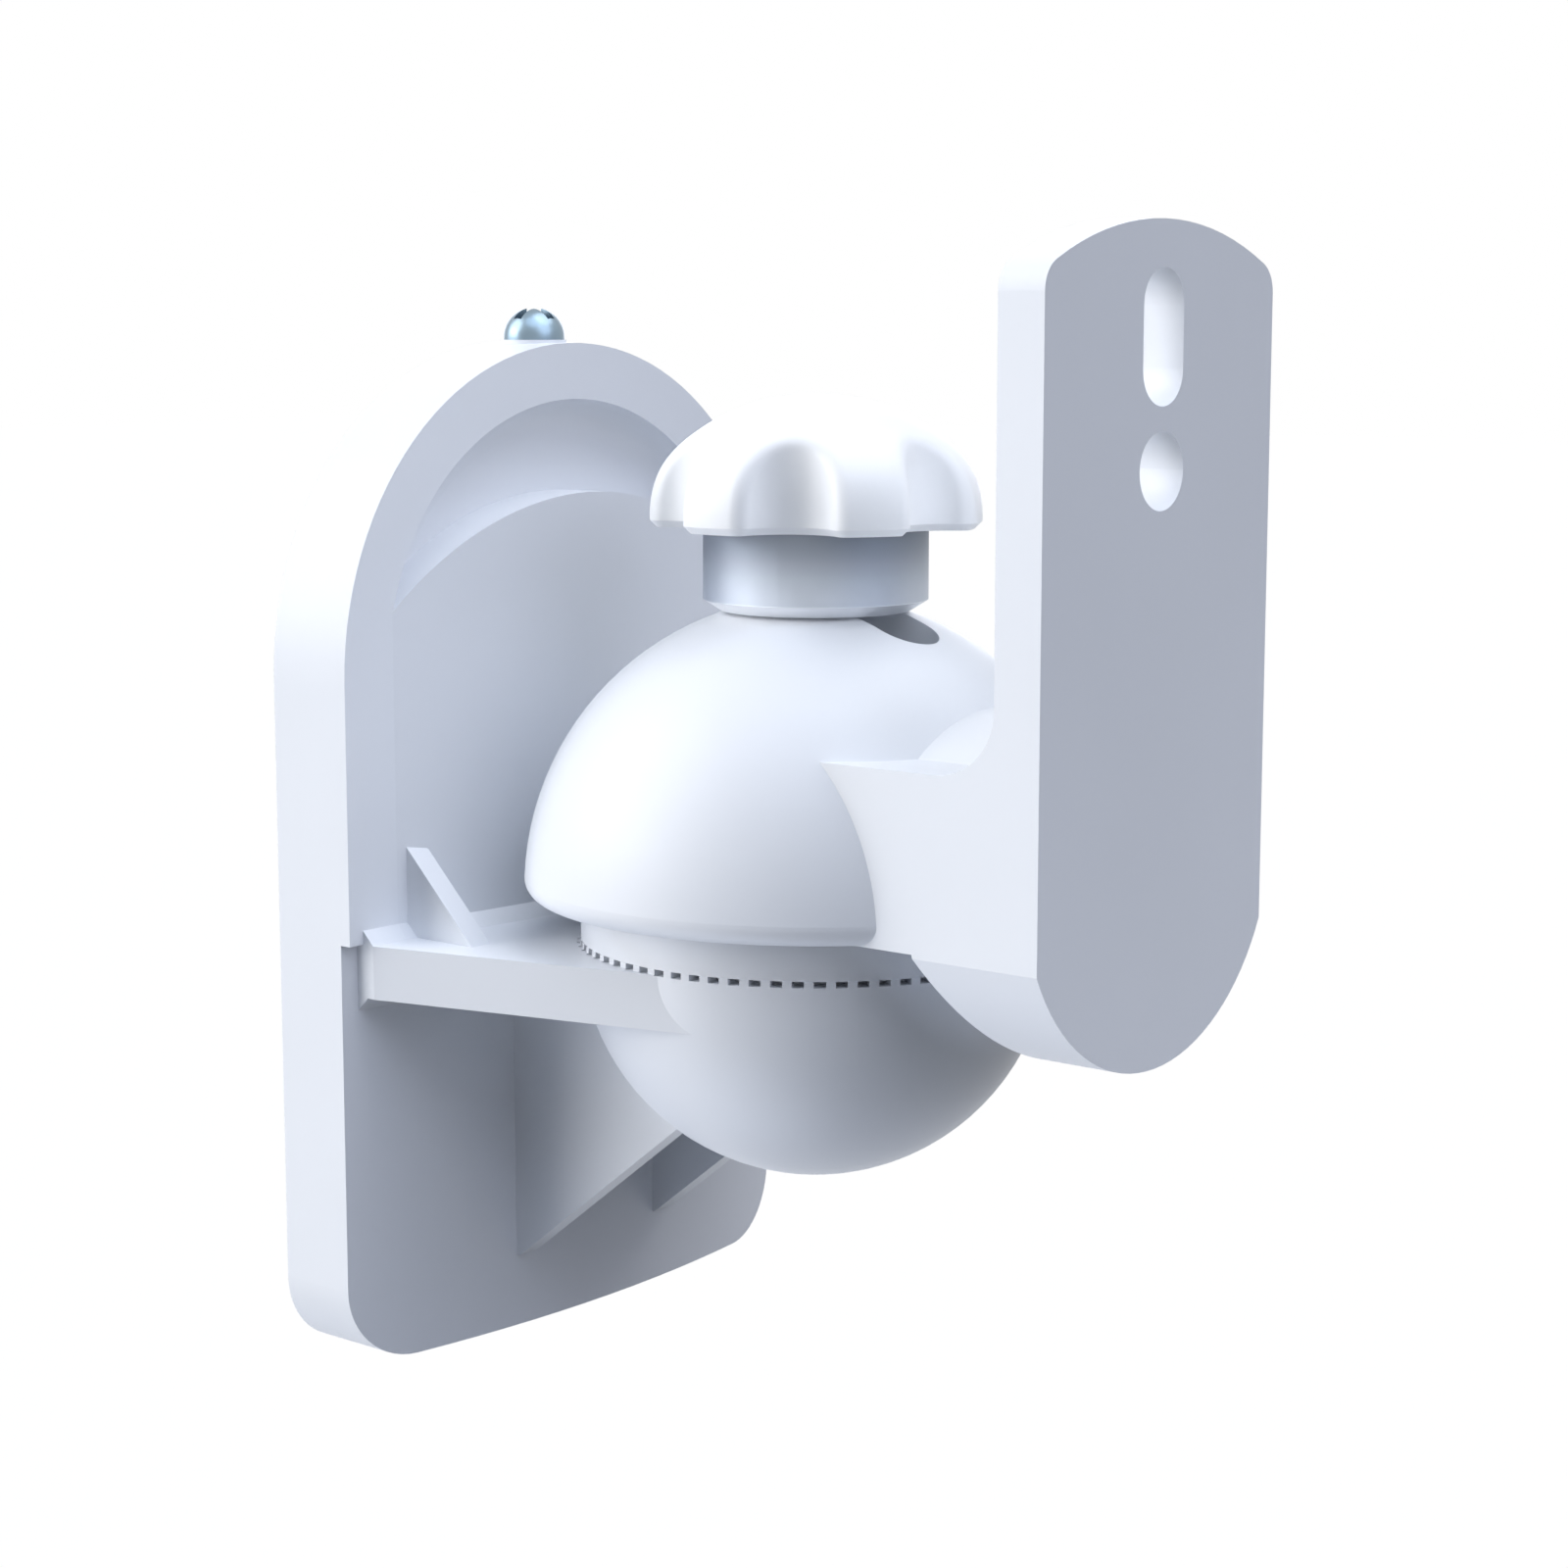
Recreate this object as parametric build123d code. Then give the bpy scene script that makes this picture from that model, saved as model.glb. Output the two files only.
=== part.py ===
from build123d import *
from math import cos, radians, sin, sqrt, tan
import os

# Speaker wall bracket, in millimetres.
# X runs to the right seen from the room, Y runs into the wall, Z points up.
# The wall is the plane Y = 0. Z = 0 is the top of the shelf that carries the ball joint.

# Wall body outline
body_width = 66.0
body_bottom = -43.7
corner_radius = 8.0
arch_centre_z = 26.1
side_depth = 9.0
front_rise = 3.6
shell_wall = 2.5

# Raised rim and the pocket under its arch
rim_depth = 10.3
rim_width = 5.8
pad_arc_radius = 37.5
pad_arc_z = 6.2
pocket_depth = 3.6
pocket_cove = 3.4
pocket_skin = 1.8

# Shelf, gussets and webs
shelf_thickness = 5.4
shelf_root_half = 31.2
shelf_tip_half = 22.3
shelf_tip_reach = 48.0
root_flare = 1.4
gusset_thickness = 2.6
gusset_outer = 25.3
gusset_height = 9.3
gusset_reach = 9.3
web_thickness = 2.6
web_outer = 11.9
web_foot_z = -36.0
web_angle = 38.0

# Ball joint
pivot_reach = 42.9
bowl_radius = 23.6
bowl_wall = 3.0
bowl_lip = 0.5
column_radius = 8.5
column_top = -5.0
tilt_height = 5.3
ball_radius = 23.5
ball_wall = 4.0
ball_tube_radius = 7.0
spigot_wall = 2.2
spigot_length = 1.5
spigot_clearance = 0.4
seat_clearance = 0.3
notch_count = 72
notch_width = 1.15
notch_height = 0.6
notch_depth = 1.8

# Dome, arm and speaker plate
dome_radius = 29.1
dome_rim_z = 4.65
dome_rim_round = 2.0
dome_relief = 0.6
relief_height = 4.3
slot_half_width = 3.55
slot_swing = 22.5
plate_front = 83.0
plate_thickness = 4.9
plate_width = 37.4
plate_top = 70.5
plate_top_radius = 40.0
plate_corner = 3.0
plate_arc_z = 13.4
plate_arc_radius = 20.8
arm_top = 21.3
neck_radius = 19.7
arm_root_round = 6.4
bowl_clear_radius = 32.6
plate_slot_width = 6.6
plate_slot_length = 12.4
plate_slot_z = 60.0
plate_hole_radius = 3.6
plate_hole_z = 48.0

# Clamp bolt, collar and knob
bolt_radius = 3.0
bolt_clearance = 0.05
bolt_head_flats = 10.0
bolt_head_height = 4.0
bolt_head_recess = 5.5
bolt_head_play = 0.15
bolt_end_gap = 1.0
collar_radius = 11.15
collar_bevel = 1.1
collar_foot_radius = 9.4
knob_radius = 16.4
knob_height = 13.0
knob_base = 41.3
knob_band = 1.0
knob_base_bevel = 0.7
flute_count = 6
flute_radius = 4.45
flute_floor = 12.25
flute_round = 1.6
flute_turn = 29.5
insert_radius = 5.0
insert_length = 8.0
insert_start = 1.0

# Fixing plate on the wall and its lock screw
fixing_thickness = 1.5
fixing_half_width = 21.0
fixing_top = 44.0
fixing_bottom = -34.0
fixing_corner = 4.0
fixing_clearance = 0.3
fixing_hole_radius = 2.4
fixing_hole_half_x = 10.0
fixing_hole_half_z = 24.0
fixing_hole_centre_z = 5.0
hook_half_width = 10.0
hook_height = 3.0
hook_overlap = 2.6
lip_half_width = 6.0
lip_reach = 7.6
lip_wall = 2.0
back_rib_x = 17.0
back_rib_thickness = 2.0
back_rib_top = 36.0
lock_screw_y = -4.7
lock_screw_radius = 1.75
lock_screw_length = 4.2
lock_head_radius = 3.2
lock_head_height = 3.3
lock_head_round = 3.0
lock_seat_radius = 3.4
lock_seat_rise = 0.3
lock_recess_width = 1.05
lock_recess_reach = 2.5
lock_recess_depth = 1.9
thread_clearance = 0.05
screw_hole_clearance = 0.25

# Worked out from the sizes above
half_width = body_width / 2
body_top = arch_centre_z + half_width
body_front = side_depth + front_rise
bulge_radius = (half_width**2 + front_rise**2) / (2 * front_rise)
bulge_y = bulge_radius - body_front
pad_half = sqrt(bulge_radius**2 - (bulge_y + rim_depth) ** 2)
inner_arch = half_width - rim_width
hollow_depth = rim_depth - shell_wall
lock_seat_z = body_top + lock_seat_rise
lip_top = body_top - lip_wall - fixing_clearance
plate_half = plate_width / 2
plate_back = plate_front - plate_thickness
bowl_inner = bowl_radius - bowl_wall
seat_radius = ball_radius + seat_clearance
head_seat_z = bolt_head_recess - bowl_radius
bolt_top = knob_base + insert_start + insert_length - bolt_end_gap
big = 200.0
tilt_centre = Pos(0, -pivot_reach, tilt_height)
bolt_axis = Pos(0, -pivot_reach, 0)


def front_block(sketch, start, end):
    """Extrude a front-view sketch between two distances measured out from the wall."""
    return extrude(Plane.XZ.offset(start) * sketch, end - start)


def side_block(points, thickness, centre_x):
    """Extrude a side-view outline of Y, Z points to a thickness centred on an X position."""
    face = make_face(Plane.YZ * Polyline(*points, close=True))
    return Pos(centre_x, 0, 0) * extrude(face, thickness / 2, both=True)


def above(z):
    return Pos(0, 0, z + big / 2) * Box(2 * big, 2 * big, big)


def below(z):
    return Pos(0, 0, z - big / 2) * Box(2 * big, 2 * big, big)


def pillar(radius, low, high):
    return Pos(0, 0, (low + high) / 2) * Cylinder(radius, high - low)


def body_outline(inset):
    """Front view of the wall body, drawn in by an inset."""
    half = half_width - inset
    low = body_bottom + inset
    sides = Pos(0, (arch_centre_z + low) / 2) * Rectangle(2 * half, arch_centre_z - low)
    corners = sides.vertices().group_by(Axis.Y)[0]
    sides = fillet(corners, corner_radius - inset)
    return sides + Pos(0, arch_centre_z) * Circle(half)


def pad_outline():
    """Front view of the bulging pad under the arch."""
    strip = Pos(0, big / 2) * Rectangle(2 * pad_half, big)
    return strip & (Pos(0, pad_arc_z) * Circle(pad_arc_radius))


def pocket_outline(grow):
    """Front view of the crescent pocket between the arch and the pad."""
    strip = Pos(0, arch_centre_z) * Rectangle(2 * (pad_half + grow), 2 * half_width)
    crescent = strip & (Pos(0, arch_centre_z) * Circle(inner_arch + grow))
    return crescent - Pos(0, pad_arc_z) * Circle(pad_arc_radius - grow)


def pocket():
    """Crescent pocket whose floor curves up into the arch."""
    floor = rim_depth - pocket_depth
    dish = front_block(Pos(0, arch_centre_z) * Circle(inner_arch), floor, rim_depth)
    dish = fillet(dish.edges().group_by(Axis.Y)[-1], pocket_cove)
    return front_block(pocket_outline(0), floor, rim_depth) & dish


def bulge():
    """Upright cylinder whose face is the convex front of the body."""
    return Pos(0, bulge_y, 0) * Cylinder(bulge_radius, 2 * big)


def wall_shell():
    """Plate with a convex front, a flat raised rim and a pocket under the arch."""
    whole = body_outline(0)
    lower = front_block(whole, 0, body_front) & bulge() & below(0)
    rim = front_block(whole, 0, rim_depth) & above(0)
    pad = front_block(pad_outline(), 0, body_front) & bulge()
    return lower + rim - pocket() + pad


def back_hollow():
    """Room behind the shell for the fixing plate, shallower behind the pocket."""
    hollow = front_block(body_outline(shell_wall), 0, hollow_depth) & bulge()
    skin_start = rim_depth - pocket_depth - pocket_skin
    hollow -= front_block(pocket_outline(shell_wall), skin_start, hollow_depth)
    seat_low = lip_top - fixing_thickness - 2 * fixing_clearance
    seat_height = lip_top + fixing_clearance - seat_low
    seat = Pos(0, seat_low + seat_height / 2) * Rectangle(2 * (lip_half_width + fixing_clearance), seat_height)
    return hollow + front_block(seat, 0, lip_reach + fixing_clearance)


def back_ribs():
    """Two upright ribs in the hollow that bear on the fixing plate."""
    height = back_rib_top - fixing_bottom
    rib = Pos(0, (back_rib_top + fixing_bottom) / 2) * Rectangle(back_rib_thickness, height)
    solid = front_block(rib, fixing_thickness, hollow_depth)
    return Pos(back_rib_x, 0, 0) * solid + Pos(-back_rib_x, 0, 0) * solid


def hook_lip():
    """Lip at the foot of the body that sits behind the tab of the fixing plate."""
    low = body_bottom + shell_wall / 2
    high = body_bottom + shell_wall + hook_height
    strip = Pos(0, (low + high) / 2) * Rectangle(2 * hook_half_width, high - low)
    return front_block(strip, 0, fixing_thickness - fixing_clearance)


def shelf():
    """Horizontal shelf that narrows from the wall to the bowl."""
    root = rim_depth + root_flare
    right = [(shelf_root_half, 0), (shelf_root_half, -root), (shelf_tip_half, -shelf_tip_reach)]
    left = [(-x, y) for x, y in reversed(right)]
    return extrude(make_face(Polyline(*right, *left, close=True)), -shelf_thickness)


def flare_ring(level, side):
    """Sloped collar where the shelf meets the front, above (1) or below (-1) the shelf."""
    wide = bulge_radius + root_flare
    narrow = bulge_radius
    low, high = (wide, narrow) if side > 0 else (narrow, wide)
    ring = Pos(0, bulge_y, level + side * root_flare / 2) * Cone(low, high, root_flare)
    return ring & Pos(0, -big / 2, 0) * Box(2 * shelf_root_half, big, big)


def root_flares():
    """Sloped collars on both faces of the shelf, and the flat wedge against the rim."""
    wedge = side_block(
        [(-rim_depth / 2, 0), (-rim_depth / 2, root_flare), (-rim_depth, root_flare), (-rim_depth - root_flare, 0)],
        2 * shelf_root_half,
        0,
    )
    return flare_ring(0, 1) + flare_ring(-shelf_thickness, -1) + wedge


def gusset(side):
    """Triangular rib that stands on the shelf against the body."""
    inner = -side_depth / 2
    outer = -rim_depth
    points = [
        (inner, -shelf_thickness / 2),
        (inner, gusset_height),
        (outer, gusset_height),
        (outer - gusset_reach, 0),
        (outer - gusset_reach, -shelf_thickness / 2),
    ]
    return side_block(points, gusset_thickness, side * (gusset_outer - gusset_thickness / 2))


def web(side):
    """Upright web under the shelf that runs from the body to the bowl."""
    rise = (pivot_reach - body_front) * tan(radians(web_angle))
    points = [
        (-side_depth / 2, -shelf_thickness / 2),
        (-side_depth / 2, web_foot_z),
        (-body_front, web_foot_z),
        (-pivot_reach, web_foot_z + rise),
        (-pivot_reach, -shelf_thickness / 2),
    ]
    return side_block(points, web_thickness, side * (web_outer - web_thickness / 2))


def bowl_outside():
    """Lower half ball with a short upright lip."""
    half_ball = Sphere(bowl_radius) & below(0)
    return bolt_axis * (half_ball + pillar(bowl_radius, 0, bowl_lip))


def bowl_inside():
    """Hollow of the bowl around the central column."""
    hollow = (Sphere(bowl_inner) & below(0)) + pillar(bowl_inner, 0, bowl_lip)
    return bolt_axis * (hollow - pillar(column_radius, -bowl_radius, column_top))


def bolt_way(clearance):
    """Hex pocket and bore that take the clamp bolt from below."""
    head = RegularPolygon(bolt_head_flats / 2 + clearance, 6, major_radius=False)
    pocket = extrude(Pos(0, 0, -bowl_radius - 1) * head, head_seat_z + bowl_radius + 1)
    return bolt_axis * (pocket + pillar(bolt_radius + bolt_clearance, head_seat_z, bowl_lip))


def notches():
    """Ring of index notches cut in the lip of the bowl."""
    reach = notch_depth + seat_clearance
    cut = Box(reach, notch_width, notch_height)
    start = bowl_radius - notch_depth + reach / 2
    ring = [loc * cut for loc in PolarLocations(start, notch_count)]
    return bolt_axis * Pos(0, 0, bowl_lip - notch_height / 2) * Compound(children=ring)


def lock_seat():
    """Flat seat on top of the arch for the head of the lock screw."""
    return Pos(0, lock_screw_y, 0) * pillar(lock_seat_radius, body_top - lip_wall, lock_seat_z)


def make_bracket_body():
    body = wall_shell() + shelf() + root_flares() + gusset(1) + gusset(-1) + web(1) + web(-1)
    body += bowl_outside() + lock_seat()
    body -= back_hollow()
    body -= bowl_inside()
    body -= bolt_way(bolt_head_play)
    body -= notches()
    screw_hole = pillar(lock_screw_radius + screw_hole_clearance, lip_top, body_top + 1)
    body -= Pos(0, lock_screw_y, 0) * screw_hole
    return body + back_ribs() + hook_lip()


def make_fixing_plate():
    """Bent steel sheet with a threaded top lip and a stepped hook tab."""
    sheet = Pos(0, (fixing_top + fixing_bottom) / 2)
    sheet *= RectangleRounded(2 * fixing_half_width, fixing_top - fixing_bottom, fixing_corner)
    neck = Pos(0, (fixing_top + lip_top) / 2) * Rectangle(2 * lip_half_width, lip_top - fixing_top + 2 * fixing_corner)
    neck &= Pos(0, lip_top - big / 2) * Rectangle(big, big)
    plate = front_block(sheet + neck, 0, fixing_thickness)
    lip = [(0, lip_top - fixing_thickness), (0, lip_top), (-lip_reach, lip_top), (-lip_reach, lip_top - fixing_thickness)]
    plate += side_block(lip, 2 * lip_half_width, 0)
    hook_top = body_bottom + shell_wall + hook_height
    tab_low = hook_top - hook_overlap
    step = hook_top + fixing_clearance
    tab = [
        (-fixing_thickness / 2, fixing_bottom),
        (0, fixing_bottom),
        (0, step),
        (-fixing_thickness, step),
        (-fixing_thickness, tab_low),
        (-2 * fixing_thickness, tab_low),
        (-2 * fixing_thickness, fixing_bottom),
    ]
    plate += side_block(tab, 2 * (hook_half_width - fixing_clearance), 0)
    for x in (-fixing_hole_half_x, fixing_hole_half_x):
        for z in (-fixing_hole_half_z, fixing_hole_half_z):
            hole = Pos(x, fixing_hole_centre_z + z) * Circle(fixing_hole_radius)
            plate -= front_block(hole, -1, fixing_thickness + 1)
    thread = pillar(lock_screw_radius + thread_clearance, lip_top - 2 * fixing_thickness, lip_top + 1)
    return plate - Pos(0, lock_screw_y, 0) * thread


def make_lock_screw():
    """Round head screw with a cross recess that holds the body on the fixing plate."""
    top = lock_seat_z + lock_head_height
    head = pillar(lock_head_radius, lock_seat_z, top)
    head = fillet(head.edges().group_by(Axis.Z)[-1], lock_head_round)
    shank = pillar(lock_screw_radius, lock_seat_z - lock_screw_length, lock_seat_z)
    bar = Box(2 * lock_recess_reach, lock_recess_width, lock_recess_depth)
    cross = bar + Rot(0, 0, 90) * bar
    return Pos(0, lock_screw_y, 0) * (head + shank - Pos(0, 0, top - lock_recess_depth / 2) * cross)


def make_clamp_bolt():
    """Long hex bolt through the whole joint."""
    head = RegularPolygon(bolt_head_flats / 2, 6, major_radius=False)
    body = extrude(Pos(0, 0, head_seat_z - bolt_head_height) * head, bolt_head_height)
    return bolt_axis * (body + pillar(bolt_radius, head_seat_z, bolt_top))


def make_swivel_hub():
    """Hollow ball top that turns on the bowl and carries the dome."""
    outside = (Sphere(ball_radius) & above(0)) + pillar(ball_radius, bowl_lip - tilt_height, 0)
    inner = ball_radius - ball_wall
    hollow = (Sphere(inner) & above(0)) + pillar(inner, bowl_lip - tilt_height, 0)
    tube = pillar(ball_tube_radius, bowl_lip - tilt_height, inner)
    spigot_radius = bowl_inner - spigot_clearance
    floor = bowl_lip - tilt_height
    spigot = pillar(spigot_radius, floor - spigot_length, floor + spigot_length)
    spigot -= pillar(spigot_radius - spigot_wall, floor - spigot_length, floor + spigot_length)
    hub = outside - hollow + tube + spigot
    bore = pillar(bolt_radius + bolt_clearance, -2 * tilt_height, ball_radius + 1)
    return tilt_centre * (hub - bore)


def dome_shell():
    """Outside of the dome with its rounded lower edge, about the tilt centre."""
    dome = Sphere(dome_radius) & above(dome_rim_z - tilt_height)
    return fillet(dome.edges().group_by(Axis.Z)[0], dome_rim_round)


def dome_seat():
    """Ball seat inside the dome, wider near its rim for tilting."""
    relief = Sphere(seat_radius + dome_relief) & below(relief_height)
    return Sphere(seat_radius) + relief


def dome_slot():
    """Long slot over the dome that lets it tilt past the bolt."""
    reach = 2 * dome_radius
    side = reach * tan(radians(slot_swing))
    wedge = side_block([(0, 0), (side, reach), (-side, reach)], 2 * slot_half_width, 0)
    end = pillar(slot_half_width, 0, reach)
    return wedge + Rot(slot_swing, 0, 0) * end + Rot(-slot_swing, 0, 0) * end


def plate_outline():
    """Front view of the speaker plate with its arched top and round foot."""
    low = plate_arc_z - plate_arc_radius
    tall = Pos(0, low + big / 2) * Rectangle(plate_width, big)
    tall &= Pos(0, plate_top - plate_top_radius) * Circle(plate_top_radius)
    foot = Pos(0, plate_arc_z) * Circle(plate_arc_radius)
    tall &= foot + Pos(0, plate_arc_z + big / 2) * Rectangle(big, big)
    corners = [v for v in tall.vertices() if v.Y > plate_arc_z + plate_arc_radius]
    return fillet(corners, plate_corner)


def arm_outline():
    """Front view of the arm: the foot of the plate, flat ledges and a rounded ridge."""
    low = plate_outline() & (Pos(0, arm_top - big / 2) * Rectangle(big, big))
    ridge = Pos(0, tilt_height) * Circle(neck_radius)
    return low + (ridge & (Pos(0, arm_top + big / 2) * Rectangle(big, big)))


def arm_root():
    """Hollow round where the flat ledges run up into the plate."""
    size = arm_root_round
    corner = Pos(size / 2, size / 2) * Rectangle(size, size) - Pos(size, size) * Circle(size)
    back = Plane((0, -plate_back, arm_top), x_dir=(0, 1, 0), z_dir=(1, 0, 0))
    return extrude(back * corner, plate_half, both=True)


def make_speaker_arm():
    """Dome, arm and speaker plate in one moulding."""
    plate = front_block(plate_outline(), plate_back, plate_front)
    arm = front_block(arm_outline(), pivot_reach, plate_back) + arm_root()
    arm -= bolt_axis * Sphere(bowl_clear_radius) & below(dome_rim_z)
    body = tilt_centre * dome_shell() + arm + plate
    body -= tilt_centre * dome_seat()
    body -= tilt_centre * dome_slot()
    slot = Pos(0, plate_slot_z) * Rot(0, 0, 90) * SlotOverall(plate_slot_length, plate_slot_width)
    hole = Pos(0, plate_hole_z) * Circle(plate_hole_radius)
    return body - front_block(slot + hole, plate_back - 1, plate_front + 1)


def make_saddle_collar():
    """Collar under the knob with a ball-shaped seat that presses on the dome."""
    seat = dome_radius + seat_clearance
    foot = tilt_height + sqrt(seat**2 - collar_foot_radius**2)
    collar = pillar(collar_radius, foot + collar_bevel, knob_base)
    collar += Pos(0, 0, foot + collar_bevel / 2) * Cone(collar_foot_radius, collar_radius, collar_bevel)
    collar -= Pos(0, 0, tilt_height) * Sphere(seat)
    return bolt_axis * (collar - pillar(bolt_radius + bolt_clearance, 0, knob_base + 1))


def knob_section():
    """Half section of the knob: flat base, upright band and domed top."""
    diagonal = radians(45)
    shoulder = (knob_radius * cos(diagonal), knob_band + (knob_height - knob_band) * sin(diagonal))
    sides = Polyline((0, knob_height), (0, 0), (knob_radius, 0), (knob_radius, knob_band))
    crown = Spline((knob_radius, knob_band), shoulder, (0, knob_height), tangents=[(0, 1), (-1, 0)])
    return Plane.XZ * make_face(sides + crown)


def scalloped_knob():
    """Domed knob with flutes cut down its side, rounded grips and a bevelled base."""
    knob = revolve(knob_section(), Axis.Z, 360)
    flute = pillar(flute_radius, -1, knob_height + 1)
    for loc in PolarLocations(flute_floor + flute_radius, flute_count, flute_turn):
        knob -= loc * flute
    outer = [e for e in knob.edges() if e.center().X ** 2 + e.center().Y ** 2 > insert_radius**2]
    crests = [e for e in outer if e.bounding_box().max.Z > 2 * knob_band]
    uprights = [e for e in outer if e.geom_type == GeomType.LINE]
    knob = fillet(crests + uprights, flute_round)
    return chamfer(knob.edges().group_by(Axis.Z)[0], knob_base_bevel)


def make_clamp_knob():
    """Scalloped knob with a pocket for the threaded insert."""
    knob = scalloped_knob() - pillar(insert_radius, -1, insert_start + insert_length)
    return bolt_axis * Pos(0, 0, knob_base) * knob


def make_knob_insert():
    """Threaded insert pressed into the knob."""
    insert = pillar(insert_radius, insert_start, insert_start + insert_length)
    insert -= pillar(bolt_radius + thread_clearance, 0, knob_height)
    return bolt_axis * Pos(0, 0, knob_base) * insert


nodes = {
    "bracket_body": make_bracket_body,
    "fixing_plate": make_fixing_plate,
    "lock_screw": make_lock_screw,
    "clamp_bolt": make_clamp_bolt,
    "swivel_hub": make_swivel_hub,
    "speaker_arm": make_speaker_arm,
    "saddle_collar": make_saddle_collar,
    "clamp_knob": make_clamp_knob,
    "knob_insert": make_knob_insert,
}

os.makedirs("parts", exist_ok=True)
for name, make in nodes.items():
    export_step(make(), f"parts/{name}.step")
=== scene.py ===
import math

import bmesh
import bpy
from bpy.props import FloatProperty, FloatVectorProperty, PointerProperty
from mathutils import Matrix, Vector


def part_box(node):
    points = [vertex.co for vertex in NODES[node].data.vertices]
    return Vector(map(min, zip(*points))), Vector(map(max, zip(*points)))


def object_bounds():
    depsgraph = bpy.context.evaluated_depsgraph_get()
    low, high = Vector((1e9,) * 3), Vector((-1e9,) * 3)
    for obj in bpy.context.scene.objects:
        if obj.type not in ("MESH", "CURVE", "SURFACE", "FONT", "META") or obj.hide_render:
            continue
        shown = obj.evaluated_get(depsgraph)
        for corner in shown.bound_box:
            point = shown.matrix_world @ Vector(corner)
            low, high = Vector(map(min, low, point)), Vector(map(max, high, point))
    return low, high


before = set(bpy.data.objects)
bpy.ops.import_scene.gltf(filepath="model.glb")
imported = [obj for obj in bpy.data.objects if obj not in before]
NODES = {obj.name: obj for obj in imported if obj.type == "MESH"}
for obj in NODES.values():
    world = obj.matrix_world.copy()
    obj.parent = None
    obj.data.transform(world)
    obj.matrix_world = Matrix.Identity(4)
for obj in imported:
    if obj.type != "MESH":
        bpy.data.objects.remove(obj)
CAD_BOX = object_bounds()

bl_info = {
    "name": "Speaker wall bracket",
    "version": (1, 0, 0),
    "blender": (4, 5, 0),
    "location": "View3D > Sidebar > Bracket",
    "description": "Finishes, lighting and camera for the speaker wall bracket",
    "category": "Object",
}

MM = 0.001

# Mouldings of the same white plastic. The knob is a moulding of its own, and gets a lighter copy of the
# same plastic that paints in the extra light falling on it.
WHITE_NODES = ("bracket_body", "swivel_hub", "speaker_arm")
# Length of the slow waves that stand for the slight sink of thick moulded walls.
SINK_MM = 15
# How far the roughness strays below and above its mean, over the grain of plastic and over stained metal.
GRAIN_GLOSS = (-0.05, 0.07)
STAIN_GLOSS = (-0.04, 0.06)
# Width of the clouds that handling and uneven plating leave on metal.
STAIN_MM = 2.5
# Height of the collar's plain wall, above the bevel at its foot.
COLLAR_WALL_MM = 7.04
# Half the height over which the collar's wall passes into the painted highlight at its lower edge.
COLLAR_EDGE_MM = 0.1
# Width of the zinc crystals on the sheet, and the distance between its rolling lines and their length.
CRYSTAL_MM = 2
ROLLING_MM = 0.4
ROLLING_LENGTH_MM = 20

# Size of the floor from its middle to its edges in metres, and the cells along each side.
FLOOR_REACH = 6.0
FLOOR_CELLS = 8
# Share of the floor that the camera sees as plain white; the rest shows the light and the shadow on it.
FLOOR_WHITE = 0.95
# Width of the paper's soft mottle on the floor.
PAPER_MM = 3
# The studio's lamps: azimuth and elevation that the light comes from in degrees, strength and colour.
LAMPS = (
    ("key_left", 135, 0, 1.45, "#FBFCFF"),
    ("wall_side", 45, 0, 1.1, "#F0F3FF"),
    ("raised_left", 135, 30, 1.75, "#FFFFFF"),
    ("front", 270, 30, 1.03, "#E6ECFF"),
    ("high_front", 225, 65, 0.95, "#E0ECFF"),
    ("high_right", 315, 65, 1.4, "#F8FAFF"),
    ("table_glow", 135, -65, 1.55, "#E4EDFF"),
)
# The camera's lens and sensor in mm, the nearest that it sees in metres, and its tip and turn in degrees.
LENS_MM = 72.37
SENSOR_MM = 36.0
CAMERA_NEAR = 0.01
CAMERA_TIP = 81.556
CAMERA_TURN = -50.49


def linear(hex_colour):
    """Turn an sRGB hex colour into linear red, green, blue and alpha."""
    channels = [int(hex_colour[i:i + 2], 16) / 255 for i in (1, 3, 5)]
    return [c / 12.92 if c <= 0.04045 else ((c + 0.055) / 1.055) ** 2.4 for c in channels] + [1.0]


def add_node(tree, kind, settings=None, values=None, links=None):
    """Add a node with its settings, its socket values and the sockets that feed it."""
    node = tree.nodes.new(kind)
    for key, value in (settings or {}).items():
        setattr(node, key, value)
    for key, value in (values or {}).items():
        node.inputs[key].default_value = value
    for key, source in (links or {}).items():
        tree.links.new(source, node.inputs[key])
    return node


def new_material(name):
    """Make an empty node material and return it with its node tree."""
    material = bpy.data.materials.new(name)
    material.use_nodes = True
    material.node_tree.nodes.clear()
    return material, material.node_tree


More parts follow.
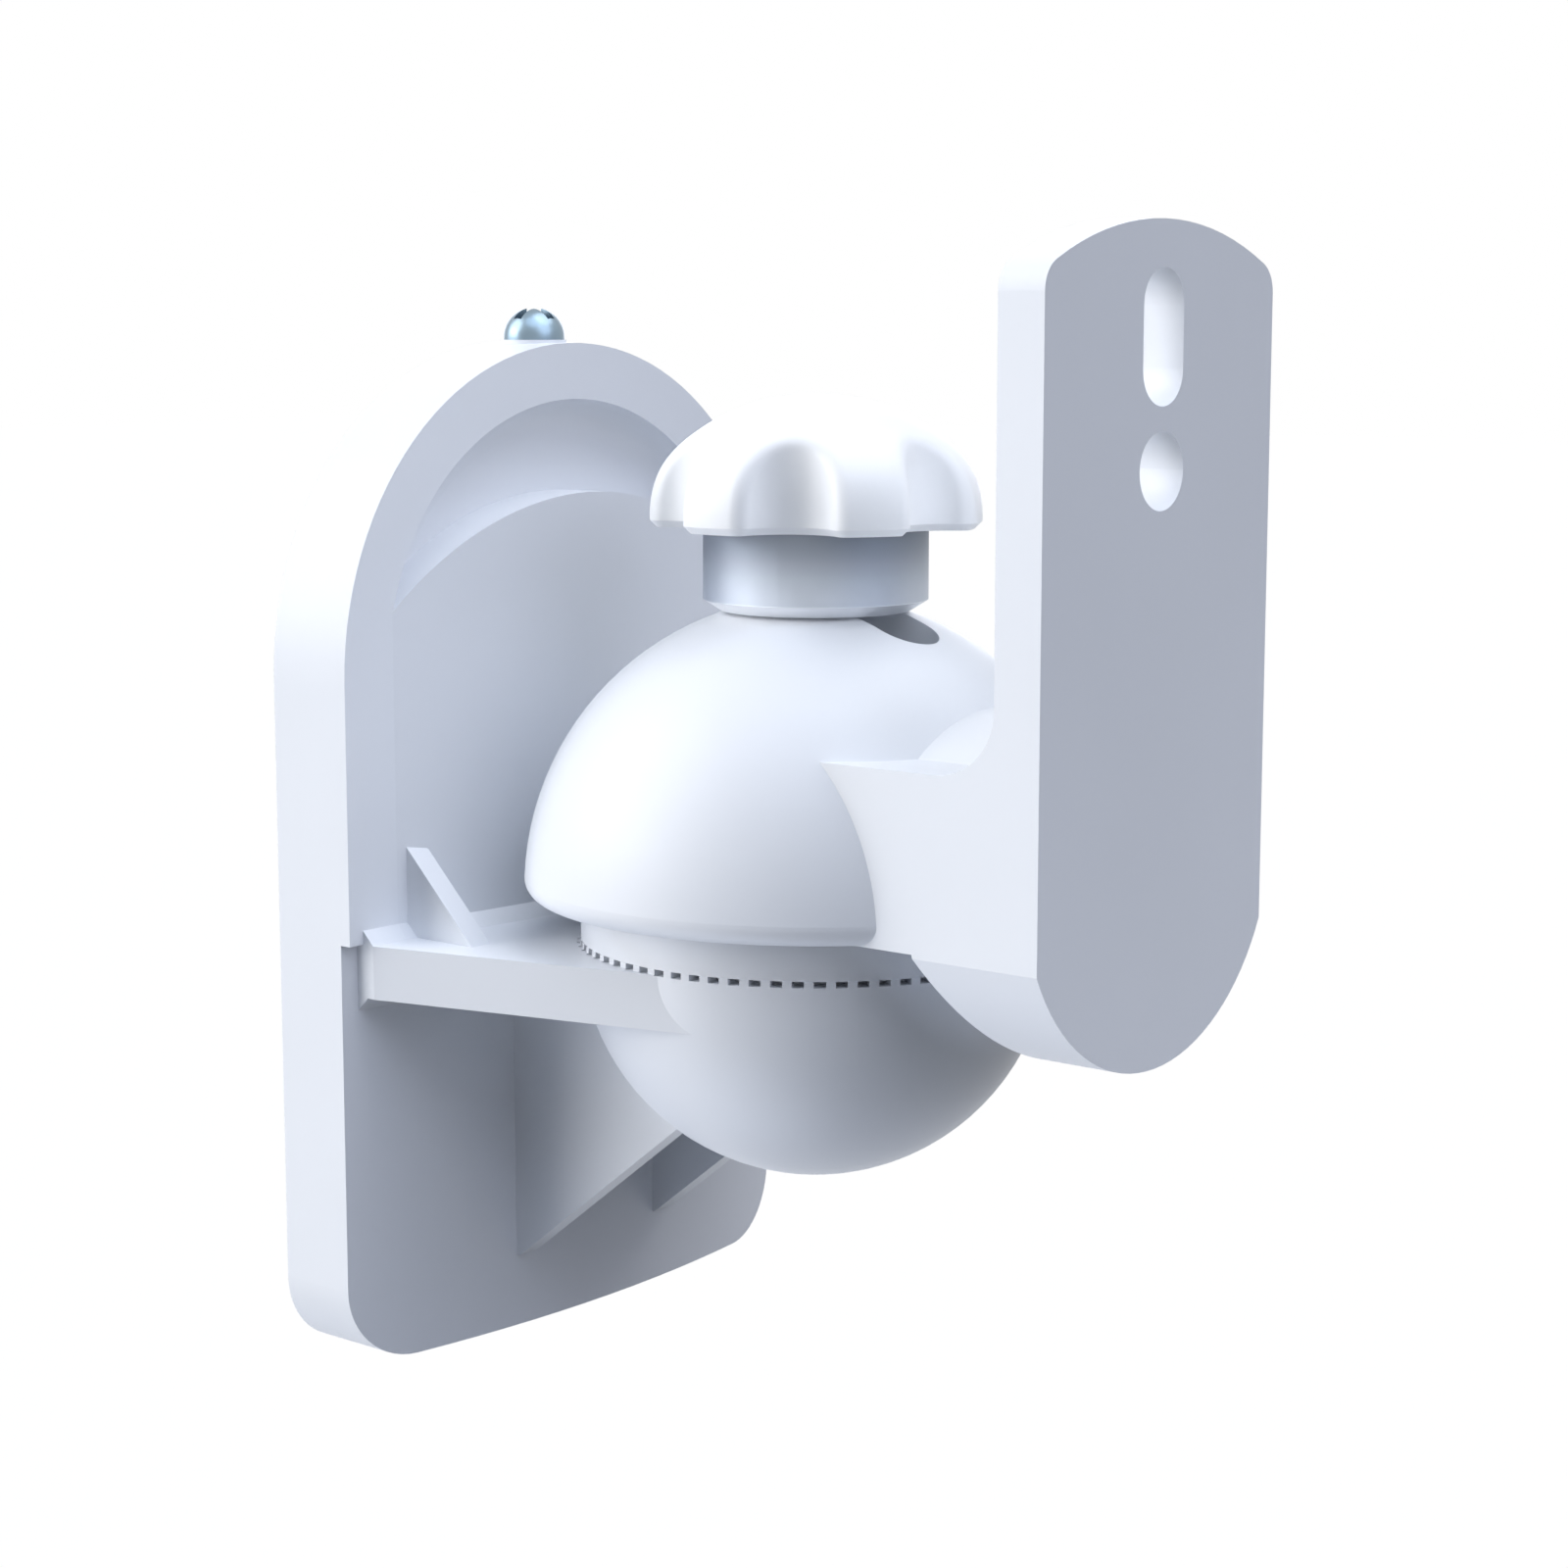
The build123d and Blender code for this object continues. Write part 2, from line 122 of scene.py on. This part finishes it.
def moulded_abs(name, colour, shade, finish):
    """White ABS, injection moulded in a finely eroded tool: a soft satin skin with a very fine grain."""
    material, tree = new_material(name)
    place = add_node(tree, "ShaderNodeTexCoord").outputs["Object"]
    # The grain is drawn coarser than the real 0.1 mm, so that it shows.
    grain = add_node(
        tree, "ShaderNodeTexNoise",
        values={"Scale": 1 / (finish.grain_mm * MM), "Detail": 3.0, "Roughness": 0.6},
        links={"Vector": place},
    )
    sink = add_node(
        tree, "ShaderNodeTexNoise",
        values={"Scale": 1 / (SINK_MM * MM), "Detail": 1.0, "Roughness": 0.4},
        links={"Vector": place},
    )
    tone = add_node(
        tree, "ShaderNodeMix",
        settings={"data_type": "RGBA"},
        values={"A": shade, "B": colour},
        links={"Factor": sink.outputs["Fac"]},
    )
    low_gloss, high_gloss = (finish.plastic_gloss + stray for stray in GRAIN_GLOSS)
    gloss = add_node(
        tree, "ShaderNodeMapRange",
        values={"To Min": low_gloss, "To Max": high_gloss},
        links={"Value": grain.outputs["Fac"]},
    )
    waves = add_node(
        tree, "ShaderNodeBump",
        values={"Strength": 0.05, "Distance": 0.2 * MM},
        links={"Height": sink.outputs["Fac"]},
    )
    skin = add_node(
        tree, "ShaderNodeBump",
        values={"Strength": 0.10, "Distance": 0.02 * MM},
        links={"Height": grain.outputs["Fac"], "Normal": waves.outputs["Normal"]},
    )
    shader = add_node(
        tree, "ShaderNodeBsdfPrincipled",
        values={"IOR": 1.53},
        links={
            "Base Color": tone.outputs["Result"],
            "Roughness": gloss.outputs["Result"],
            "Normal": skin.outputs["Normal"],
        },
    )
    add_node(tree, "ShaderNodeOutputMaterial", links={"Surface": shader.outputs["BSDF"]})
    return material


def turned_metal(name, colour, shade, centre, roughness, ring_mm, ring_depth, painted_light=None):
    """Metal with the fine rings that turning leaves, on end faces and on round walls alike."""
    material, tree = new_material(name)
    place = add_node(tree, "ShaderNodeTexCoord").outputs["Object"]
    centred = add_node(
        tree, "ShaderNodeMapping",
        settings={"vector_type": "TEXTURE"},
        values={"Location": centre},
        links={"Vector": place},
    )
    # One ring every ring_mm: a wave's own period is pi / 10 at scale 1.
    rings = add_node(
        tree, "ShaderNodeTexWave",
        settings={"wave_type": "RINGS", "rings_direction": "SPHERICAL"},
        values={"Scale": math.pi / (10 * ring_mm * MM), "Distortion": 0.4, "Detail": 2.0},
        links={"Vector": centred.outputs["Vector"]},
    )
    stain = add_node(
        tree, "ShaderNodeTexNoise",
        values={"Scale": 1 / (STAIN_MM * MM), "Detail": 4.0},
        links={"Vector": centred.outputs["Vector"]},
    )
    tone = add_node(
        tree, "ShaderNodeMix",
        settings={"data_type": "RGBA"},
        values={"A": linear(shade), "B": linear(colour)},
        links={"Factor": stain.outputs["Fac"]},
    )
    # An optional function paints shade and highlight into the tone.
    if painted_light:
        tone = painted_light(tree, place, tone)
    low_gloss, high_gloss = (roughness + stray for stray in STAIN_GLOSS)
    gloss = add_node(
        tree, "ShaderNodeMapRange",
        values={"To Min": low_gloss, "To Max": high_gloss},
        links={"Value": stain.outputs["Fac"]},
    )
    marks = add_node(
        tree, "ShaderNodeBump",
        values={"Strength": ring_depth, "Distance": 0.01 * MM},
        links={"Height": rings.outputs["Fac"]},
    )
    shader = add_node(
        tree, "ShaderNodeBsdfPrincipled",
        values={"Metallic": 1.0},
        links={
            "Base Color": tone.outputs["Result"],
            "Roughness": gloss.outputs["Result"],
            "Normal": marks.outputs["Normal"],
        },
    )
    add_node(tree, "ShaderNodeOutputMaterial", links={"Surface": shader.outputs["BSDF"]})
    return material


def collar_painted_shade_and_highlight(tree, place, tone):
    """Paint shade on the plating up under the knob, and a painted highlight along the lower edge of the
    collar's wall.
    """
    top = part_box("saddle_collar")[1][2]
    edge = top - COLLAR_WALL_MM * MM
    height = add_node(tree, "ShaderNodeSeparateXYZ", links={"Vector": place}).outputs["Z"]
    # Painted shade mask: darker up the collar's wall towards the knob above it.
    painted_shade_mask = add_node(
        tree, "ShaderNodeMapRange",
        settings={"interpolation_type": "SMOOTHSTEP"},
        values={"From Min": edge, "From Max": top, "To Min": 0.0, "To Max": 0.85},
        links={"Value": height},
    )
    # Painted shade: a dark grey mixed in under the knob.
    painted_shade = add_node(
        tree, "ShaderNodeMix",
        settings={"data_type": "RGBA"},
        values={"B": linear("#6A717C")},
        links={"Factor": painted_shade_mask.outputs["Result"], "A": tone.outputs["Result"]},
    )
    # Painted highlight mask at the foot of the wall, where the bevel begins.
    painted_highlight_mask = add_node(
        tree, "ShaderNodeMapRange",
        values={"From Min": edge + COLLAR_EDGE_MM * MM, "From Max": edge - COLLAR_EDGE_MM * MM},
        links={"Value": height},
    )
    # Painted highlight: near white laid on the collar's lower edge.
    return add_node(
        tree, "ShaderNodeMix",
        settings={"data_type": "RGBA"},
        values={"B": linear("#F4F6F9")},
        links={"Factor": painted_highlight_mask.outputs["Result"], "A": painted_shade.outputs["Result"]},
    )


def zinc_plated_sheet():
    """Cold rolled steel sheet with bright zinc plating: cool grey, faint flakes and rolling lines."""
    material, tree = new_material("zinc_plated_sheet")
    place = add_node(tree, "ShaderNodeTexCoord").outputs["Object"]
    flakes = add_node(
        tree, "ShaderNodeTexVoronoi",
        values={"Scale": 1 / (CRYSTAL_MM * MM), "Randomness": 1.0},
        links={"Vector": place},
    )
    # Rolling lines run up the sheet, drawn out along Z.
    across = 1 / (ROLLING_MM * MM)
    stretched = add_node(
        tree, "ShaderNodeMapping",
        values={"Scale": (across, across, 1 / (ROLLING_LENGTH_MM * MM))},
        links={"Vector": place},
    )
    lines = add_node(
        tree, "ShaderNodeTexNoise",
        values={"Scale": 1.0, "Detail": 2.0},
        links={"Vector": stretched.outputs["Vector"]},
    )
    tone = add_node(
        tree, "ShaderNodeMix",
        settings={"data_type": "RGBA"},
        values={"A": linear("#ABB0B5"), "B": linear("#BABFC3")},
        links={"Factor": flakes.outputs["Distance"]},
    )
    gloss = add_node(
        tree, "ShaderNodeMapRange",
        values={"To Min": 0.28, "To Max": 0.46},
        links={"Value": lines.outputs["Fac"]},
    )
    marks = add_node(
        tree, "ShaderNodeBump",
        values={"Strength": 0.15, "Distance": 0.02 * MM},
        links={"Height": lines.outputs["Fac"]},
    )
    shader = add_node(
        tree, "ShaderNodeBsdfPrincipled",
        values={"Metallic": 1.0},
        links={
            "Base Color": tone.outputs["Result"],
            "Roughness": gloss.outputs["Result"],
            "Normal": marks.outputs["Normal"],
        },
    )
    add_node(tree, "ShaderNodeOutputMaterial", links={"Surface": shader.outputs["BSDF"]})
    return material


def seen_rays(tree):
    """Give 1 for rays that look, straight or in a reflection, and 0 for those that gather light."""
    rays = add_node(tree, "ShaderNodeLightPath").outputs
    seen = rays["Is Camera Ray"]
    for kind in ("Is Glossy Ray", "Is Transmission Ray"):
        either = add_node(
            tree, "ShaderNodeMath",
            settings={"operation": "MAXIMUM"},
            links={0: seen, 1: rays[kind]},
        )
        seen = either.outputs["Value"]
    return seen


def backdrop_white():
    """Matt white studio sheet that the camera sees as white, with the shadow of the object left on it."""
    material, tree = new_material("studio_white")
    place = add_node(tree, "ShaderNodeTexCoord").outputs["Object"]
    paper = add_node(
        tree, "ShaderNodeTexNoise",
        values={"Scale": 1 / (PAPER_MM * MM), "Detail": 2.0},
        links={"Vector": place},
    )
    tone = add_node(
        tree, "ShaderNodeMix",
        settings={"data_type": "RGBA"},
        values={"A": linear("#F4F5F6"), "B": linear("#FAFBFC")},
        links={"Factor": paper.outputs["Fac"]},
    )
    sheet = add_node(tree, "ShaderNodeBsdfDiffuse", links={"Color": tone.outputs["Result"]})
    share = add_node(
        tree, "ShaderNodeMath",
        settings={"operation": "MULTIPLY"},
        values={1: FLOOR_WHITE},
        links={0: seen_rays(tree)},
    )
    white = add_node(tree, "ShaderNodeEmission", values={"Strength": 1.0})
    shader = add_node(
        tree, "ShaderNodeMixShader",
        links={0: share.outputs["Value"], 1: sheet.outputs["BSDF"], 2: white.outputs["Emission"]},
    )
    add_node(tree, "ShaderNodeOutputMaterial", links={"Surface": shader.outputs["Shader"]})
    return material


def give_material(node_name, material):
    """Put a material in every slot of a CAD node."""
    node = NODES[node_name]
    if not node.material_slots:
        raise RuntimeError(f"{node_name} has no material slot")
    for slot in node.material_slots:
        slot.material = material


def middle(node_name):
    """Give the middle of a CAD node's box."""
    low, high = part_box(node_name)
    return [(a + b) / 2 for a, b in zip(low, high)]


def add_lamp(name, azimuth, elevation, strength, colour, softness):
    """Add a broad, far lamp that shines on the bracket from an azimuth and elevation in degrees."""
    data = bpy.data.lights.new(name, "SUN")
    data.energy = strength
    data.color = linear(colour)[:3]
    data.angle = softness
    lamp = bpy.data.objects.new(name, data)
    lamp.rotation_euler = (0.0, math.radians(90 - elevation), math.radians(azimuth))
    bpy.context.scene.collection.objects.link(lamp)


def colour_property(name, description, hex_colour):
    """Declare a colour that a user may change, whose default is an sRGB hex colour."""
    return FloatVectorProperty(
        name=name, description=description, default=linear(hex_colour),
        size=4, min=0.0, max=1.0, subtype="COLOR")


class BracketFinish(bpy.types.PropertyGroup):
    """Colours and finish of the mouldings."""

    plastic_colour: colour_property("Plastic colour", "Colour of the white mouldings", "#EDF0F5")
    plastic_shade: colour_property("Plastic shade", "Slightly darker tone of the same plastic", "#E9ECF1")
    # The knob's two tones are the white plastic lightened: painted light on the knob.
    knob_painted_light_colour: colour_property("Knob colour", "Colour of the knob", "#FCFDFF")
    knob_painted_light_shade: colour_property("Knob shade", "Slightly darker tone of the knob", "#F8FAFC")
    plastic_gloss: FloatProperty(
        name="Plastic roughness", description="Mean roughness of the moulded skin",
        default=0.42, min=0.1, max=0.9, subtype="FACTOR")
    grain_mm: FloatProperty(
        name="Grain", description="Size of the moulded grain in millimetres", default=0.4, min=0.1, max=2.0)


class BracketStudio(bpy.types.PropertyGroup):
    """Light, floor and camera."""

    floor_drop: FloatProperty(
        name="Floor drop", description="How far the floor lies under the bracket",
        default=0.16, min=0.0, max=1.0, unit="LENGTH")
    lamp_level: FloatProperty(
        name="Lamp level", description="Strength of all the lamps together", default=1.0, min=0.0, max=4.0)
    lamp_softness: FloatProperty(
        name="Lamp softness", description="Angle that each lamp fills as the bracket sees it",
        default=math.radians(50), min=0.0, max=math.pi, subtype="ANGLE", unit="ROTATION")
    fill: FloatProperty(
        name="Fill", description="Strength of the even light from all round",
        default=0.02, min=0.0, max=2.0)
    camera_place: FloatVectorProperty(
        name="Camera place", description="Where the camera stands",
        default=(-0.24207, -0.23844, 0.06186), size=3, subtype="TRANSLATION", unit="LENGTH")


class BRACKET_OT_mouldings(bpy.types.Operator):
    """Give the white moulded parts their plastic skin"""

    bl_idname = "bracket.mouldings"
    bl_label = "White mouldings"

    def execute(self, context):
        finish = context.scene.bracket_finish
        white = moulded_abs("white_moulded_abs", finish.plastic_colour, finish.plastic_shade, finish)
        for name in WHITE_NODES:
            give_material(name, white)
        # The knob's lighter copy of the white plastic paints in the light that falls on it.
        bright = moulded_abs("white_moulded_abs_painted_light", finish.knob_painted_light_colour, finish.knob_painted_light_shade, finish)
        give_material("clamp_knob", bright)
        return {"FINISHED"}


class BRACKET_OT_hardware(bpy.types.Operator):
    """Give the screw, bolt, insert, collar and fixing plate their metals"""

    bl_idname = "bracket.hardware"
    bl_label = "Metal parts"

    def execute(self, context):
        # Chromed screw: bluish bright finish with the faintest rings from turning.
        chrome = turned_metal(
            "chromed_steel", "#8B9EAC", "#788B99", middle("lock_screw"),
            roughness=0.32, ring_mm=0.3, ring_depth=0.02)
        # Zinc plated bolt: grey with a dull satin sheen.
        zinc = turned_metal(
            "zinc_plated_bolt_steel", "#A9ADB2", "#8F949A", middle("clamp_bolt"),
            roughness=0.34, ring_mm=0.4, ring_depth=0.12)
        # Brass insert: warm yellow, turned on a lathe about the bolt's axis.
        brass = turned_metal(
            "turned_brass", "#D0B066", "#B08E48", middle("clamp_bolt"),
            roughness=0.26, ring_mm=0.3, ring_depth=0.12)
        # Nickel plated collar: blasted before plating, so it shows only soft grey reflections. Its tone
        # carries painted shade up under the knob and a painted highlight on its lower edge.
        nickel = turned_metal(
            "satin_nickel_plate", "#B9C0CB", "#AEB5C0", middle("saddle_collar"),
            roughness=0.5, ring_mm=0.35, ring_depth=0.06, painted_light=collar_painted_shade_and_highlight)
        give_material("lock_screw", chrome)
        give_material("clamp_bolt", zinc)
        give_material("knob_insert", brass)
        give_material("saddle_collar", nickel)
        give_material("fixing_plate", zinc_plated_sheet())
        return {"FINISHED"}


class BRACKET_OT_stage(bpy.types.Operator):
    """Lay the floor, set the lamps and place the camera"""

    bl_idname = "bracket.stage"
    bl_label = "Stage"

    def execute(self, context):
        studio = context.scene.bracket_studio
        lowest = CAD_BOX[0][2]
        self.lay_floor(lowest - studio.floor_drop)
        for name, azimuth, elevation, strength, colour in LAMPS:
            add_lamp(name, azimuth, elevation, strength * studio.lamp_level, colour, studio.lamp_softness)
        self.fill_air(context, studio)
        self.aim_camera(context, studio)
        return {"FINISHED"}

    def lay_floor(self, level):
        """Lay a wide white floor at a level."""
        shape = bmesh.new()
        bmesh.ops.create_grid(shape, x_segments=FLOOR_CELLS, y_segments=FLOOR_CELLS, size=FLOOR_REACH)
        bmesh.ops.translate(shape, verts=shape.verts, vec=(0, 0, level))
        mesh = bpy.data.meshes.new("studio_floor")
        shape.to_mesh(mesh)
        shape.free()
        mesh.materials.append(backdrop_white())
        floor = bpy.data.objects.new("studio_floor", mesh)
        bpy.context.scene.collection.objects.link(floor)
        # The table is lit from below too: it lets that light through and throws none back.
        floor.visible_shadow = False
        floor.visible_diffuse = False

    def fill_air(self, context, studio):
        """Surround the bracket with a faint even light that looks white itself."""
        world = bpy.data.worlds.new("studio_air")
        world.use_nodes = True
        tree = world.node_tree
        tree.nodes.clear()
        soft = add_node(
            tree, "ShaderNodeBackground", values={"Color": linear("#E4EDFA"), "Strength": studio.fill})
        white = add_node(
            tree, "ShaderNodeBackground", values={"Color": linear("#FFFFFF"), "Strength": 1.0})
        mixed = add_node(
            tree, "ShaderNodeMixShader",
            links={0: seen_rays(tree), 1: soft.outputs["Background"], 2: white.outputs["Background"]},
        )
        add_node(tree, "ShaderNodeOutputWorld", links={"Surface": mixed.outputs["Shader"]})
        context.scene.world = world

    def aim_camera(self, context, studio):
        """Place the camera where the photograph was taken from."""
        data = bpy.data.cameras.new("photo_view")
        data.sensor_width = SENSOR_MM
        data.lens = LENS_MM
        data.clip_start = CAMERA_NEAR
        camera = bpy.data.objects.new("photo_view", data)
        camera.location = studio.camera_place
        camera.rotation_euler = (math.radians(CAMERA_TIP), 0.0, math.radians(CAMERA_TURN))
        context.scene.collection.objects.link(camera)
        context.scene.camera = camera
        context.scene.view_settings.view_transform = "Standard"


class BRACKET_PT_panel(bpy.types.Panel):
    """Sidebar panel for the speaker wall bracket."""

    bl_label = "Speaker wall bracket"
    bl_idname = "BRACKET_PT_panel"
    bl_space_type = "VIEW_3D"
    bl_region_type = "UI"
    bl_category = "Bracket"

    def draw(self, context):
        layout = self.layout
        for key in BracketFinish.__annotations__:
            layout.prop(context.scene.bracket_finish, key)
        for key in BracketStudio.__annotations__:
            layout.prop(context.scene.bracket_studio, key)
        for step in STEPS:
            layout.operator(step.bl_idname)


STEPS = (BRACKET_OT_mouldings, BRACKET_OT_hardware, BRACKET_OT_stage)
CLASSES = (BracketFinish, BracketStudio) + STEPS + (BRACKET_PT_panel,)


def register():
    """Add the bracket's settings, operators and panel."""
    for cls in CLASSES:
        bpy.utils.register_class(cls)
    bpy.types.Scene.bracket_finish = PointerProperty(type=BracketFinish)
    bpy.types.Scene.bracket_studio = PointerProperty(type=BracketStudio)


def unregister():
    """Take the bracket's settings, operators and panel away again."""
    del bpy.types.Scene.bracket_studio
    del bpy.types.Scene.bracket_finish
    for cls in reversed(CLASSES):
        bpy.utils.unregister_class(cls)


def main():
    """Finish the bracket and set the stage."""
    register()
    bpy.ops.bracket.mouldings()
    bpy.ops.bracket.hardware()
    bpy.ops.bracket.stage()


if __name__ == "__main__":
    main()
